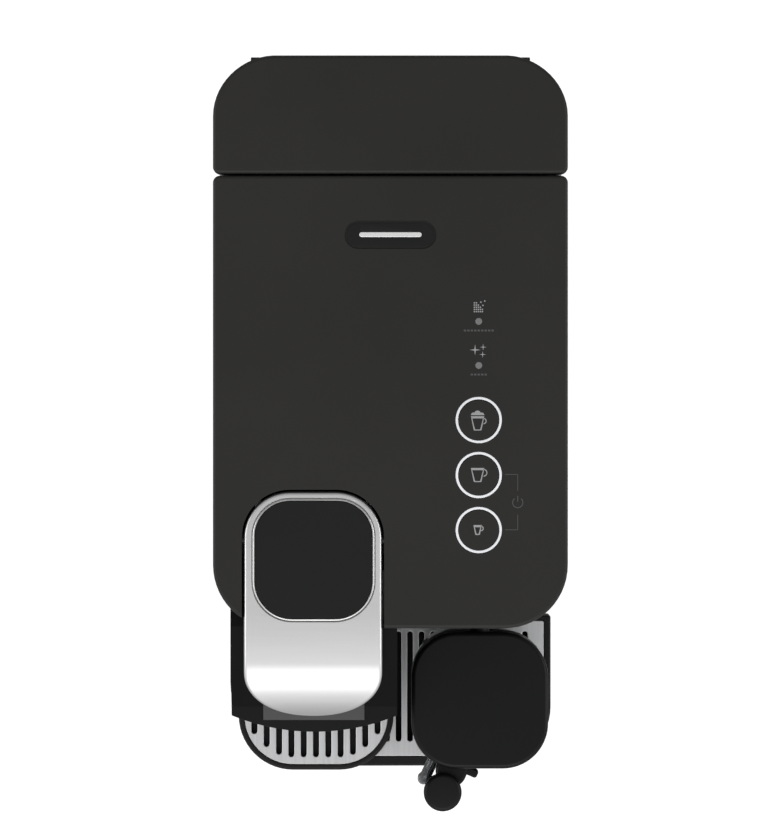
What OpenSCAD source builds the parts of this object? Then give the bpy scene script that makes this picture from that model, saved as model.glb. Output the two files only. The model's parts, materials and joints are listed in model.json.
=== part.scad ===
// Pod coffee machine with a rear water tank, a capsule lever and a docked milk jug.
// Origin: centre of the bounding box in plan, on the surface that it stands on.
// +X is the machine's right seen from the front, +Y its rear, +Z up.

/* [Body] */
// Width across the top panel
body_w = 154; // [150:1:158]
// Height of the top panel above the table
body_h = 256; // [254:1:260]
// Rear face of the water-tank lid
rear_y = 168; // [165:1:172]
// Front edge of the top panel
panel_front_y = -81.7; // [-83:0.1:-81]
// Rear edge of the top panel
panel_rear_y = 114.7; // [114:0.1:115]
// Corner radius at the front of the top panel
panel_r = 27.5; // [24:0.5:29]
// Corner radius at the rear of the tank and its lid
tank_r = 26; // [18:0.1:26]
// Wall thickness of the mouldings
wall = 2.5; // [2:0.1:2.8]

/* [Lever] */
// Middle of the lever and of the brew unit across the machine
lever_x = -33.6; // [-34:0.1:-33.4]
// Width of the lever
lever_w = 60; // [56:0.1:60]
// Rear edge of the lever
lever_rear_y = -22.4; // [-23:0.1:-22]
// Distance from the lever's rear edge forward to its shaft
pivot_in = 21; // [20:0.5:22]
// Front tip of the lever
lever_tip_y = -121; // [-122:0.5:-119]
// Lever opening angle
lever_open = 90; // [80:1:95]
// Stroke of the capsule cage for the full lever angle
cage_stroke = 30; // [24:1:30]

/* [Controls] */
// Middle of the button column across the machine
button_x = 38.3; // [30:0.1:45]
// Middle of the rearmost button
button_y = 8.7; // [5:0.1:12]
// Distance from one button to the next
button_pitch = 23.85; // [23:0.05:25]
// Outer radius of a button's light ring
ring_r = 10.1; // [9.5:0.1:10.5]
// Width of a light ring
ring_w = 1.05; // [0.8:0.05:1.4]
// Travel of a button
button_travel = 1.2; // [0.8:0.1:1.4]

/* [Cup area] */
// Front edge of the drip tray
tray_front_y = -156.5; // [-158:0.5:-155]
// Top of the drip tray and its grid
tray_top = 34; // [32:1:36]
// Top of the fold-up cup support
support_top = 80; // [76:1:84]
// Under side of the brew head
head_bottom = 150; // [148:1:154]

/* [Milk jug] */
// Middle of the jug across the machine
jug_x = 40.35; // [40:0.05:41]
// Side length of the jug lid
jug_w = 61.7; // [58:0.1:62]
// Rear edge of the jug lid
jug_rear_y = -87; // [-88:0.5:-86.5]
// Corner radius of the jug lid
jug_r = 20.5; // [16:0.5:22]
// Top of the jug lid
jug_top = 166; // [164:1:168]
// Angle of the milk spout from straight ahead
spout_turn = 23.7; // [20:0.1:30]
// Distance from the spout's pivot to its knob
spout_reach = 41.7; // [38:0.1:42]

/* [Hidden] */
$fn = 72;

half_w = body_w / 2;
// Outer faces of the side walls stand a little inside the top panel.
side_x = half_w - 1;
foot_h = 3;
deck_top = 22;
base_x = 75;
base_front_y = -150;
base_rear_y = rear_y - 2.4;
tongue_top = 7.2;
top_z0 = body_h - 10;
skin_z = body_h - wall;
wall_top = top_z0 - 0.3;
body_front_y = panel_front_y + 0.5;
seam_y = -54;
tank_front_y = panel_rear_y + 0.8;
tank_rear_y = rear_y - 2;
tank_corner_r = tank_r - 2;
foot_spots = [[-60, -136], [60, -136], [-60, 146], [60, 146]];
cover_screws = [[-62, -68], [62, -68], [-62, 40], [62, 40], [-40, 154], [40, 154]];

// Lever: it turns on a shaft through its thickness, and its short tail dips into the body.
lever_t = 9;
lever_rear_r = 20;
pivot_y = lever_rear_y - pivot_in;
pivot_z = body_h - lever_t / 2;
shaft_r = 1.8;
run_gap = 0.05;
window_x0 = lever_x - 25.7;
window_x1 = lever_x + 26.2;
window_y0 = -78;
window_y1 = -26;
window_r = 16;
insert_t = 2.4;
// Cam plates: their slots carry the cage pins on a level line below the pivot.
cam_x = 22.5;
cam_t = 3;
pin_drop = 18;
pin_near = 12;
pin_far = pin_near + cage_stroke;
pin_r = 2.5;
slot_half = pin_r + 0.3;
cam_steps = 24;
frame_x = 30.6;
frame_t = 2;

// Brew chamber: its axis runs from rear to front.
brew_z = 204;
plate_y = -91;
cage_len = 34;
cage_r = 19;
capsule_r = 15.2;
flange_r = 18.6;

head_x0 = -69.7;
head_x1 = 3;
head_nose_y = -128.3;
head_side_y = -121;
outlet_y = -112;
// The folding cup support swings past just under the outlet.
outlet_z0 = 140.5;

buttons = [for (i = [0:2]) [button_x, button_y - i * button_pitch]];
led_spots = [[button_x, 51.5], [button_x, 32.4]];
board_z = 236;

tray_x = 76.3;
tray_rear_y = -84.5;
tray_z0 = 7.6;
tray_r = 28;
// The tray's front left corner is rounder than its front right one.
tray_left_r = 40;
grid_t = 3.6;
grid_slot = 2.7;
grid_pitch = 5.47;
grid_shift = -1.6;
rim_side = 2.9;
rim_front = 4.6;
rim_rear = 2.5;
grid_gap = 0.4;
support_x0 = -71;
support_x1 = 1.4;
support_front_y = -155;
support_rear_y = -86.6;
support_t = 8;
support_r = 25.4;
support_pivot_y = -90;
support_pivot_z = support_top - support_t / 2;
bin_x0 = -61;
bin_x1 = -5;
bin_rear_y = -20;
bin_z0 = 24;
bin_z1 = 112;

jug_x0 = jug_x - jug_w / 2;
jug_x1 = jug_x + jug_w / 2;
jug_front_y = jug_rear_y - jug_w;
jug_base_z = 52;
skirt_z0 = 136;
slot_z0 = 147;
slot_z1 = 158.5;
port_z = 152.5;
spout_y = -121.3;
nozzle_r = 4.5;

hinge_y = rear_y - 4.5;
hinge_z = 249.5;

// Flat outline with its own corner radii at the front and at the rear.
module outline(x0, x1, y0, y1, front_r, rear_r) {
    for (x = [x0 + front_r, x1 - front_r]) translate([x, y0 + front_r]) circle(front_r);
    for (x = [x0 + rear_r, x1 - rear_r]) translate([x, y1 - rear_r]) circle(rear_r);
    polygon([[x0 + front_r, y0], [x1 - front_r, y0], [x1, y0 + front_r], [x1, y1 - rear_r],
        [x1 - rear_r, y1], [x0 + rear_r, y1], [x0, y1 - rear_r], [x0, y0 + front_r]]);
}

// Prism of such an outline between two heights.
module slab(x0, x1, y0, y1, front_r, rear_r, z0, z1)
    translate([0, 0, z0]) linear_extrude(z1 - z0) outline(x0, x1, y0, y1, front_r, rear_r);

// Box given by its limits.
module box(x0, x1, y0, y1, z0, z1)
    translate([x0, y0, z0]) cube([x1 - x0, y1 - y0, z1 - z0]);

// Cylinder along +X, +Y or +Z that starts at a point.
module rod_x(p, r, len) translate(p) rotate([0, 90, 0]) cylinder(r = r, h = len);
module rod_y(p, r, len) translate(p) rotate([-90, 0, 0]) cylinder(r = r, h = len);
module rod_z(p, r, len) translate(p) cylinder(r = r, h = len);

// Side-view polygon of [y, z] points, extruded across the machine from x0 to x1.
module profile_x(x0, x1, points)
    translate([x0, 0, 0]) rotate([90, 0, 90]) linear_extrude(x1 - x0) polygon(points);

// Tube along square turns between the points of a list, with an elbow fitting at each turn.
module pipe(points, r) {
    for (i = [0:len(points) - 2]) {
        run = points[i + 1] - points[i];
        tilt = acos(run[2] / norm(run));
        turn = atan2(run[1], run[0]);
        translate(points[i]) rotate([0, tilt, turn]) cylinder(r = r, h = norm(run));
    }
    for (i = [1:len(points) - 2]) translate(points[i]) cube(2 * r + 1.2, center = true);
}

// ---- Base and outer walls ----

// Moulded tub under the machine, with a thin tongue that carries the drip tray.
module base() color("#262524") difference() {
    union() {
        slab(-base_x, base_x, -79, base_rear_y, 3, 22, 5, deck_top);
        slab(-70, 70, base_front_y, -70, 24, 2, foot_h, tongue_top);
        slab(-base_x, base_x, tank_front_y, base_rear_y, 2, 22, deck_top, deck_top + 3.8);
    }
    slab(-base_x + wall, base_x - wall, -76, base_rear_y - wall, 2, 19.5, 4, deck_top - wall);
    slab(-base_x + wall, base_x - wall, tank_front_y + wall, base_rear_y - wall, 1, 19.5, deck_top, 40);
    rod_y([52, base_rear_y - 10, 13], 5, 20);
}

// Plate that closes the tub from below.
module bottom_cover() color("#1c1c1c") difference() {
    slab(-base_x + 0.6, base_x - 0.6, -69.5, base_rear_y - 0.6, 2, 21.4, foot_h, 5);
    for (p = cover_screws) rod_z([p[0], p[1], 0], 1.7, 20);
}

module rubber_feet() color("#111111") for (p = foot_spots) translate([p[0], p[1], 0])
    rotate_extrude() polygon([[0, 0], [7.5, 0], [9, 1.5], [9, foot_h], [0, foot_h]]);

module base_screws() color("silver") for (p = cover_screws) {
    rod_z([p[0], p[1], 1.6], 3, foot_h - 1.6);
    rod_z([p[0], p[1], foot_h], 1.65, 6);
}

// Gland in the rear wall where the mains lead would enter.
module cord_gland() color("#151515") difference() {
    union() {
        rod_y([52, base_rear_y - 6, 13], 4.95, 7.8);
        rod_y([52, base_rear_y, 13], 6.5, 1.8);
    }
    rod_y([52, base_rear_y - 10, 13], 3.4, 20);
}

module left_side_panel() color("#2c2b29")
    box(-side_x, -side_x + wall, seam_y, panel_rear_y - 3, deck_top, wall_top);

module right_side_panel() color("#2c2b29")
    box(side_x - wall, side_x, seam_y, panel_rear_y - 3, deck_top, wall_top);

// Front of the body with both rounded corners; open for the capsule bin and the brew unit.
module front_wall() color("#2c2b29") difference() {
    intersection() {
        slab(-side_x, side_x, body_front_y, 0, panel_r - 0.5, 1, deck_top, wall_top);
        box(-100, 100, -100, seam_y, 0, body_h);
    }
    slab(-side_x + wall, side_x - wall, body_front_y + wall, 20, panel_r - 0.5 - wall, 1, 0, body_h);
    box(bin_x0 - 1.5, bin_x1 + 1.5, -90, -20, 0, bin_z1 + 2);
    box(lever_x - frame_x - frame_t, lever_x + frame_x + frame_t, -90, -20, head_bottom, body_h);
    rod_y([jug_x, -90, port_z], 6, 20);
}

module tank_bay_wall() color("#232221") difference() {
    box(-side_x, side_x, panel_rear_y - 3, panel_rear_y - 0.5, deck_top, wall_top);
    rod_y([0, 100, 30], 5, 30);
}

// Hollow top panel with bores for the controls and a long cut-out for the lever.
module top_panel() color("#33302e") difference() {
    union() {
        difference() {
            slab(-half_w, half_w, panel_front_y, panel_rear_y, panel_r, 3, top_z0, body_h);
            slab(-half_w + wall, half_w - wall, panel_front_y + wall, panel_rear_y - wall,
                panel_r - wall, 1, 0, skin_z);
        }
        for (x = [14, 66], y = [-48, 66]) rod_z([x, y, board_z], 3, skin_z - board_z);
    }
    slab(lever_x - lever_w / 2 - 0.9, lever_x + lever_w / 2 + 0.9, -120, lever_rear_y + 1, 2,
        lever_rear_r + 0.9, 0, 300);
    for (p = buttons) rod_z([p[0], p[1], 240], ring_r, 30);
    for (p = led_spots) rod_z([p[0], p[1], 240], 1.5, 30);
    badge_slab(300);
}

module light_rings() color("white") for (p = buttons) translate([p[0], p[1], skin_z]) difference() {
    cylinder(r = ring_r, h = wall);
    translate([0, 0, -1]) cylinder(r = ring_r - ring_w, h = 10);
}

module indicator_lenses() color("white") for (p = led_spots)
    rod_z([p[0], p[1], skin_z - 2], 1.5, wall + 2);

// Plain metal plate with round ends, let into the panel in front of the tank.
badge_w = 39.6;
badge_d = 12;
badge_y = 89.1;
badge_r = 5.9;
module badge_slab(z1) slab(-badge_w / 2, badge_w / 2, badge_y - badge_d / 2, badge_y + badge_d / 2,
    badge_r, badge_r,
    body_h - 0.8, z1);
module badge() color("silver") badge_slab(body_h);

// ---- Brew head ----

// Outline of the head: straight sides that run back to the rounded body, and a bowed nose.
head_rear_y = -66;
nose_chord = (head_x1 - head_x0) / 2;
nose_rise = head_side_y - head_nose_y;
nose_r = (nose_chord * nose_chord + nose_rise * nose_rise) / (2 * nose_rise);
head_mid_x = (head_x0 + head_x1) / 2;
module head_outline(inset) intersection() {
    outline(head_x0 + inset, head_x1 - inset, -140 + inset, head_rear_y, 4, 0.5);
    translate([head_mid_x, head_nose_y + nose_r]) circle(nose_r - inset, $fn = 180);
}
// Height of the head's top edge at a place from rear to front.
head_top_rear = 246;
head_top_points = [[head_rear_y, 0], [head_rear_y, head_top_rear], [body_front_y, head_top_rear],
    [-98, 243], [-117, 230.5], [-123, 227.5], [-135, 224], [-135, 0]];

module head_housing() color("#1e1e1e") difference() {
    intersection() {
        translate([0, 0, head_bottom]) linear_extrude(110) head_outline(0);
        profile_x(-90, 20, head_top_points);
    }
    intersection() {
        translate([0, 0, head_bottom + wall]) linear_extrude(110) head_outline(wall);
        translate([0, 0, -wall]) profile_x(-90, 20, head_top_points);
    }
    slab(-side_x, side_x, body_front_y, 0, panel_r - 0.5, 1, 0, body_h);
    box(head_x0 + wall, head_x1 - wall, -97, -60, head_bottom + wall, 240.3);
    box(lever_x - 27.5, lever_x + 27.5, -97, -70, head_bottom + wall, 300);
    box(lever_x - frame_x - frame_t, lever_x + frame_x + frame_t, -90, -70, head_bottom, 240.3);
    rod_z([lever_x, outlet_y, 100], 9, 80);
}

// Satin strip across the nose, under the tip of the lever.
trim_t = 1.1;
module spout_trim() color("#8a8a8a") profile_x(lever_x - 22.2, lever_x + 22.2, [[-104, 239.08 + trim_t],
    [-117, 230.53 + trim_t], [-123, 227.53 + trim_t], [-123, 227.53], [-117, 230.53], [-104, 239.08]]);

// Coffee spout with two outlets under the head.
module coffee_outlet() color("#1b1b1b") difference() {
    union() {
        rod_z([lever_x, outlet_y, 142], 8.9, 26);
        slab(lever_x - 12, lever_x + 12, outlet_y - 6, outlet_y + 6, 5.5, 5.5, outlet_z0, head_bottom - 0.5);
    }
    rod_z([lever_x, outlet_y, 148], 6.5, 30);
    for (side = [-1, 1]) rod_z([lever_x + side * 5, outlet_y, 130], 2, 30);
}

// Two upright plates and a rear cross plate that carry the lever and the brew chamber.
module brew_frame() color("#1f2022") difference() {
    union() {
        for (x = [lever_x - frame_x - frame_t, lever_x + frame_x]) {
            box(x, x + frame_t, -96, -11, head_bottom + wall, 240);
            box(x, x + frame_t, pivot_y - 6, pivot_y + 6, 236, skin_z - 0.3);
        }
        box(lever_x - frame_x, lever_x + frame_x, -15, -11, head_bottom + wall, 211);
    }
    rod_x([lever_x - 40, pivot_y, pivot_z], shaft_r, 80);
    for (side = [-1, 1]) box(lever_x + side * frame_x - 1, lever_x + side * frame_x + 1,
        -92, -20, brew_z - 2.1, brew_z + 2.1);
    rod_y([lever_x, -20, brew_z], 3, 20);
}

module lever_shaft() color("silver")
    rod_x([lever_x - frame_x - frame_t, pivot_y, pivot_z], shaft_r, 2 * (frame_x + frame_t));

// Fixed plate with a grid of points that the capsule is pressed on.
module extraction_plate() color("#9a9a9a") difference() {
    union() {
        box(lever_x - frame_x, lever_x + frame_x, plate_y - 4, plate_y, 182, 227);
        for (i = [-3:3], j = [-3:3]) if (i * i + j * j < 11)
            box(lever_x + i * 4 - 0.8, lever_x + i * 4 + 0.8, plate_y - 0.01, plate_y + 1,
                brew_z + j * 4 - 0.8, brew_z + j * 4 + 0.8);
    }
    for (j = [-2:2]) rod_y([lever_x, plate_y - 10, brew_z + j * 4 + 2], 0.7, 30);
}

// Rails beside the plate that stop the capsule's flange.
module capsule_guides() color("#2a2a2a") for (side = [-1, 1])
    box(lever_x + side * 20 - 2.3, lever_x + side * 20 + 2.3, plate_y + 0.02, plate_y + 1.4, 208, 225);

// Slide that guides a used capsule back into the bin.
module capsule_chute() color("#2a2a2a") {
    for (side = [-1, 1]) box(lever_x + side * 21.5 - 1, lever_x + side * 21.5 + 1, -76, -17,
        116, 180);
    profile_x(lever_x - 20.5, lever_x + 20.5, [[-93, 180], [-95, 180], [-95, 176], [-78.4, 151],
        [-78.4, 116], [-76.4, 116], [-76.4, 151.6]]);
}

// ---- Machinery behind the front wall ----

hose_r = 2.5;
pump_x = 45;
pump_line_z = 56;

// Upright divider with a shelf for the thermoblock.
module inner_frame() color("#3a3d40") difference() {
    union() {
        box(-1, 1.5, -78, 74, deck_top, 232);
        box(1.5, 70, -46, 56, 104, 107);
        for (y = [-46, 53]) box(1.5, 70, y, y + 3, deck_top, 104);
    }
    rod_y([pump_x, 50, pump_line_z], hose_r + 0.5, 10);
}

module thermoblock() color("#b9bcc0") {
    slab(12, 62, -34, 34, 6, 6, 107, 165);
    for (x = [18 : 8 : 58]) box(x - 1.5, x + 1.5, -32, 32, 165, 171);
    rod_z([20, 40, 120], 4, 30);
    box(14, 26, 33, 41, 118, 126);
}

// Vibration pump: coil block between two necks.
module pump() color("#8c7a50") {
    slab(28, 62, -14, 24, 3, 3, 48, 82);
    rod_z([pump_x, 5, 30], 9, 66);
    rod_z([pump_x, 5, 26], 4, 76);
}

module pump_mounts() color("#181818") for (z = [32, 86]) difference() {
    box(32, 58, -8, 18, z, z + 8);
    rod_z([pump_x, 5, 0], 9, 120);
}

module flow_meter() color("#d8d8d0") {
    rod_z([pump_x, 82, deck_top], 15, 16);
    rod_z([pump_x, 82, 38], 9, 4);
}

module steam_valve() color("#a08a50") {
    box(28, 53, -70, -48, 140, 165);
    rod_z([jug_x, -59, 165], 8, 22);
}

// Cold feed, pump line, hot line and steam line.
module water_hoses() color("#d9d4c8") {
    pipe([[0, 111, 30], [0, 82, 30], [29.8, 82, 30]], hose_r);
    pipe([[pump_x, 82, 42.1], [pump_x, 82, pump_line_z], [pump_x, 24, pump_line_z]], hose_r);
    pipe([[20, 44.2, 135], [20, 60, 135], [8, 60, 135], [8, 60, 204], [8, -4, 204], [1.5, -4, 204]], hose_r);
    pipe([[jug_x, -34, 153], [jug_x, -48, 153]], hose_r);
}

module control_board() color("#1f5a38") box(8, 70, -56, 72, board_z - 1.6, board_z);

module button_switches() color("#222222") for (p = buttons)
    box(p[0] - 3, p[0] + 3, p[1] - 3, p[1] + 3, board_z, board_z + 4);

module power_board() color("#1f5a38") {
    box(-70, -68, 4, 96, 60, 170);
    box(-68, -50, 20, 50, 80, 110);
    for (y = [60, 78]) rod_x([-68, y, 90], 7, 16);
}

module steam_connector() color("#b0b0b0") difference() {
    union() {
        rod_y([jug_x, -72, port_z], 5.9, 2);
        rod_y([jug_x, -96, port_z], nozzle_r, 26);
        rod_y([jug_x, body_front_y - 1.6, port_z], 10, 1.6);
    }
    rod_y([jug_x, -100, port_z], 1.5, 27);
}

module tank_valve_seat() color("#1a1a1a") difference() {
    rod_z([0, 141, deck_top], 10, 3.8);
    rod_z([0, 141, deck_top - 1], 6.08, 10);
}

// ---- Lever and capsule cage ----

// Lever outline seen from above: rounded corners and a bowed tip.
tip_r = 52;
module lever_outline() intersection() {
    outline(lever_x - lever_w / 2, lever_x + lever_w / 2, lever_tip_y - 8, lever_rear_y, 26,
        lever_rear_r);
    translate([lever_x, lever_tip_y + tip_r]) circle(tip_r, $fn = 180);
}

// Side profile of the lever: rounded at the rear, curling down at the front.
curl_y = -97;
curl_out = 27;
curl_in = 20;
curl_steps = 12;
curl_end = 62.7;
lever_profile = concat(
    [for (a = [90 : -15 : -90]) [lever_rear_y - lever_t / 2 * (1 - cos(a)), pivot_z + lever_t / 2 * sin(a)]],
    [for (i = [0:curl_steps]) let(a = i * 66 / curl_steps)
        [curl_y - curl_in * sin(a), body_h - lever_t - curl_in + curl_in * cos(a)]],
    [[lever_tip_y + 1.5, 235.5], [lever_tip_y, 236.5]],
    [for (i = [curl_steps : -1 : 0]) let(a = i * curl_end / curl_steps)
        [curl_y - curl_out * sin(a), body_h - curl_out + curl_out * cos(a)]]);

module window_slab(grow, z0, z1)
    slab(window_x0 - grow, window_x1 + grow, window_y0 - grow, window_y1 + grow, window_r, window_r, z0, z1);

module lever_frame() color("#c8c8c8") difference() {
    intersection() {
        translate([0, 0, 200]) linear_extrude(80) lever_outline();
        profile_x(-100, 20, lever_profile);
    }
    window_slab(0, body_h - insert_t, 300);
    rod_x([-100, pivot_y, pivot_z], shaft_r + run_gap, 140);
}

module lever_insert() color("#262626") window_slab(-0.35, body_h - insert_t, body_h - 0.3);

// Slot centre line in the lever's own frame: the pins keep their height below the pivot, and
// move back by the same amount for each degree.
function slot_point(t) = let(a = t * lever_open, far = pin_far - t * cage_stroke)
    [-far * cos(a) + pin_drop * sin(a), -far * sin(a) - pin_drop * cos(a)];
function slot_normal(t) = let(d = slot_point(min(t + 0.01, 1)) - slot_point(max(t - 0.01, 0)))
    [-d[1], d[0]] / norm(d);
module slot_band(half) {
    polygon(concat(
        [for (i = [0:cam_steps]) slot_point(i / cam_steps) + half * slot_normal(i / cam_steps)],
        [for (i = [cam_steps : -1 : 0]) slot_point(i / cam_steps) - half * slot_normal(i / cam_steps)]));
    for (t = [0, 1]) translate(slot_point(t)) circle(half, $fn = 12);
}
module cam_outline() difference() {
    union() {
        slot_band(6.3);
        polygon(concat([for (i = [0:cam_steps]) slot_point(i / cam_steps)],
            [[2, -lever_t / 2], [-47, -lever_t / 2], [-47, -pin_drop]]));
    }
    slot_band(slot_half);
}

// Two plates under the lever, each with the slot that drives a cage pin.
module lever_cams() color("#8f9296") for (x = [lever_x - cam_x - cam_t, lever_x + cam_x])
    translate([x, pivot_y, pivot_z]) rotate([90, 0, 90]) linear_extrude(cam_t) cam_outline();

pin_y = pivot_y - pin_far;
cage_front_y = plate_y + 1.6;
cage_rear_y = cage_front_y + cage_len;

// Cup that closes over the capsule.
module capsule_cage() color("#7d8083") difference() {
    union() {
        rod_y([lever_x, cage_front_y, brew_z], cage_r, cage_len);
        rod_y([lever_x, cage_rear_y, brew_z], 4, 7);
    }
    rod_y([lever_x, cage_front_y - 1, brew_z], capsule_r, 27);
    rod_y([lever_x, cage_front_y - 1, brew_z], 1.5, 60);
}

module cage_arms() color("#5d6063") for (side = [-1, 1]) {
    difference() {
        union() {
            box(lever_x + side * 20.6 - 1.3, lever_x + side * 20.6 + 1.3, pin_y - 4, pin_y + 4,
                brew_z - 2, pivot_z - pin_drop + 3.6);
            box(lever_x + side * 25.6 - 5.9, lever_x + side * 25.6 + 5.9, -88, -58, brew_z - 2, brew_z + 2);
        }
        rod_y([lever_x, -100, brew_z], cage_r, 80);
        rod_x([-90, pin_y, pivot_z - pin_drop], 1.5, 90);
    }
}

module cage_pins() color("silver") for (x = [lever_x - 26.5, lever_x + 21.9]) {
    rod_x([x, pin_y, pivot_z - pin_drop], pin_r, 4.6);
    rod_x([x < lever_x ? lever_x - 22 : lever_x + 19.4, pin_y, pivot_z - pin_drop], 1.5, 2.6);
}

module piercing_blades() color("silver") for (a = [90, 210, 330])
    translate([lever_x + 8 * cos(a), cage_front_y + 26, brew_z + 8 * sin(a)]) rotate([90, 0, 0])
        rotate_extrude() polygon([[0, 0], [1.5, 0], [0, 5]]);

// ---- Water tank ----

module water_tank() color("#3a3c3e") {
    difference() {
        slab(-side_x, side_x, tank_front_y, tank_rear_y, 3, tank_corner_r, deck_top + 4, top_z0 - 0.4);
        slab(-side_x + wall, side_x - wall, tank_front_y + wall, tank_rear_y - wall, 1, tank_corner_r - wall,
            deck_top + 4 + wall, 300);
        rod_z([0, 141, 0], 6, 60);
        box(-70, 70, hinge_y - 5, rear_y + 5, hinge_z - 7, 300);
    }
    for (x = [-53, 53]) box(x - 3, x + 3, hinge_y - 2, tank_rear_y - wall, 225, hinge_z - 7);
    for (x = [-53, 53]) difference() {
        union() {
            rod_x([x - 3, hinge_y, hinge_z], 3, 6);
            box(x - 3, x + 3, hinge_y - 2, hinge_y + 1.4, hinge_z - 7, hinge_z);
        }
        rod_x([x - 10, hinge_y, hinge_z], 1.5, 20);
    }
}

module tank_outlet_valve() color("#1a1a1a") difference() {
    rod_z([0, 141, deck_top + 0.6], 6, 14);
    rod_z([0, 141, deck_top], 3, 12);
}

module lid_hinge_pins() color("silver") for (x = [-53, 53]) rod_x([x - 7.5, hinge_y, hinge_z], 1.5, 15);

// Hollow lid with two pairs of hinge bosses inside its rear edge, and a notch between each pair.
module tank_lid() color("#2c2b29") difference() {
    union() {
        difference() {
            slab(-half_w, half_w, tank_front_y, rear_y, 3, tank_r, top_z0, body_h);
            slab(-half_w + wall, half_w - wall, tank_front_y + wall, rear_y - 1.2, 1, tank_r - wall,
                0, skin_z);
        }
        for (x = [-53, 53], side = [-1, 1])
            box(x + side * 5.6 - 2, x + side * 5.6 + 2, hinge_y - 2.6, hinge_y + 2.6, hinge_z - 2.6, skin_z);
    }
    for (x = [-53, 53]) {
        rod_x([x - 12, hinge_y, hinge_z], 1.5 + run_gap, 24);
        box(x - 3.5, x + 3.5, hinge_y, rear_y + 1, top_z0 - 1, hinge_z + 3.2);
    }
}

// ---- Drip tray and cup support ----

// Plan of the tray, moved in by its own amount at the sides, the front and the rear.
module tray_slab(side, front, rear, rear_r, z0, z1) intersection() {
    slab(-tray_x + side, tray_x - side, tray_front_y + front, tray_rear_y - rear, tray_r - side, rear_r,
        z0, z1);
    slab(-tray_x + side, 2 * tray_x, tray_front_y + front, tray_rear_y - rear, tray_left_r - side, rear_r,
        z0, z1);
}

module drip_tray() color("#1b1b1b") difference() {
    tray_slab(0, 0, 0, 1, tray_z0, tray_top);
    tray_slab(rim_side + 2, rim_front + 2, rim_rear + 2, 1, tray_z0 + wall, 100);
    tray_slab(rim_side, rim_front, rim_rear - 0.3, 1, tray_top - grid_t - 0.1, 100);
}

// Bin for used capsules, fixed behind the tray; two ears on its face carry the cup support.
module capsule_container() color("#232323") {
    difference() {
        box(bin_x0, bin_x1, tray_rear_y, bin_rear_y, bin_z0, bin_z1);
        box(bin_x0 + wall, bin_x1 - wall, tray_rear_y + wall, bin_rear_y - wall, bin_z0 + wall, 200);
    }
    for (x = [bin_x0 + 2.6, bin_x1 - 6.6]) difference() {
        box(x, x + 4, support_pivot_y - 3.4, tray_rear_y, support_pivot_z - 3.4, support_pivot_z + 3.4);
        rod_x([x - 1, support_pivot_y, support_pivot_z], 1.5, 6);
    }
}

// Slot spans for a grid: each slot is [x, front y, rear y].
module grid_slots(slots, width, z0, z1) for (s = slots)
    slab(s[0] - width / 2, s[0] + width / 2, s[1], s[2], width / 2 - 0.01, width / 2 - 0.01, z0, z1);

// The slots stop short of the rounded front corners.
grid_x = tray_x - rim_side - grid_gap;
grid_front_y = tray_front_y + rim_front + grid_gap;
tray_slots = [for (i = [-12:12]) let(x = i * grid_pitch + grid_shift,
    r = (x < 0 ? tray_left_r : tray_r) - rim_side - grid_gap, side = max(0, abs(x) - grid_x + r))
    [x, grid_front_y + 7 + r - sqrt(r * r - side * side), tray_rear_y - 8]];
module drip_grid() color("#c9c9c7") difference() {
    tray_slab(rim_side + grid_gap, rim_front + grid_gap, rim_rear + 0.1, 0.8,
        tray_top - grid_t, tray_top - 0.2);
    grid_slots(tray_slots, grid_slot, 0, 100);
}

// Shallow pan with a rim; its grid rests on an inner step.
module cup_support_rim() color("#1b1b1b") difference() {
    slab(support_x0, support_x1, support_front_y, support_rear_y, support_r, 2,
        support_top - support_t, support_top);
    slab(support_x0 + 2.4, support_x1 - 2.4, support_front_y + 2.4, support_rear_y - 8.5, support_r - 2.4, 2,
        support_top - 3, 100);
    slab(support_x0 + 4.4, support_x1 - 4.4, support_front_y + 4.4, support_rear_y - 10.5, support_r - 4.4, 1,
        support_top - support_t + 2, 100);
    for (x = [bin_x0 + 2.6, bin_x1 - 6.6]) box(x - 0.5, x + 4.5, -95, -80, 0, 100);
    rod_x([-90, support_pivot_y, support_pivot_z], 1.5 + run_gap, 100);
}

support_mid_x = (support_x0 + support_x1) / 2;
support_slots = [for (i = [-5:5]) let(x = support_mid_x + i * 5.76, edge = max(0, abs(i) - 2))
    [x, support_front_y + 6.1 + edge * edge * 1.2, support_rear_y - 14]];
module cup_support_grid() color("#b9b9b9") difference() {
    slab(support_x0 + 2.5, support_x1 - 2.5, support_front_y + 2.5, support_rear_y - 8.6, support_r - 2.5, 2,
        support_top - 3, support_top - 0.6);
    grid_slots(support_slots, 2.7, 0, 100);
}

module cup_support_pins() color("silver") for (x = [bin_x0 - 2, bin_x1 - 11])
    rod_x([x, support_pivot_y, support_pivot_z], 1.5, 13);

// ---- Milk jug ----

module jug_slab(inset, z0, z1)
    slab(jug_x0 + inset, jug_x1 - inset, jug_front_y + inset, jug_rear_y - inset, jug_r - inset,
        jug_r - inset, z0, z1);

// Lid in two storeys around the open slot in which the milk spout swings.
module jug_lid() color("#202020") difference() {
    jug_slab(0, skirt_z0, jug_top);
    difference() {
        jug_slab(-2, slot_z0, slot_z1);
        box(0, 90, -106, -80, 0, 200);
    }
    jug_slab(3.2, skirt_z0 - 1, skirt_z0 + 7.5);
    rod_y([jug_x, -98, port_z], nozzle_r + 0.08, 30);
    rod_z([jug_x, spout_y, slot_z0 - 3], 3, slot_z1 - slot_z0 + 6);
    rod_z([jug_x, -112, 130], 2.5, 17);
}

module milk_tube() color("#e8e8e8") difference() {
    rod_z([jug_x, -112, jug_base_z + 6], 2.5, slot_z0 - jug_base_z - 6.5);
    rod_z([jug_x, -112, 0], 1.5, 200);
}

module spout_pivot_pin() color("#303030") rod_z([jug_x, spout_y, slot_z0 - 3], 3, slot_z1 - slot_z0 + 6);

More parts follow.
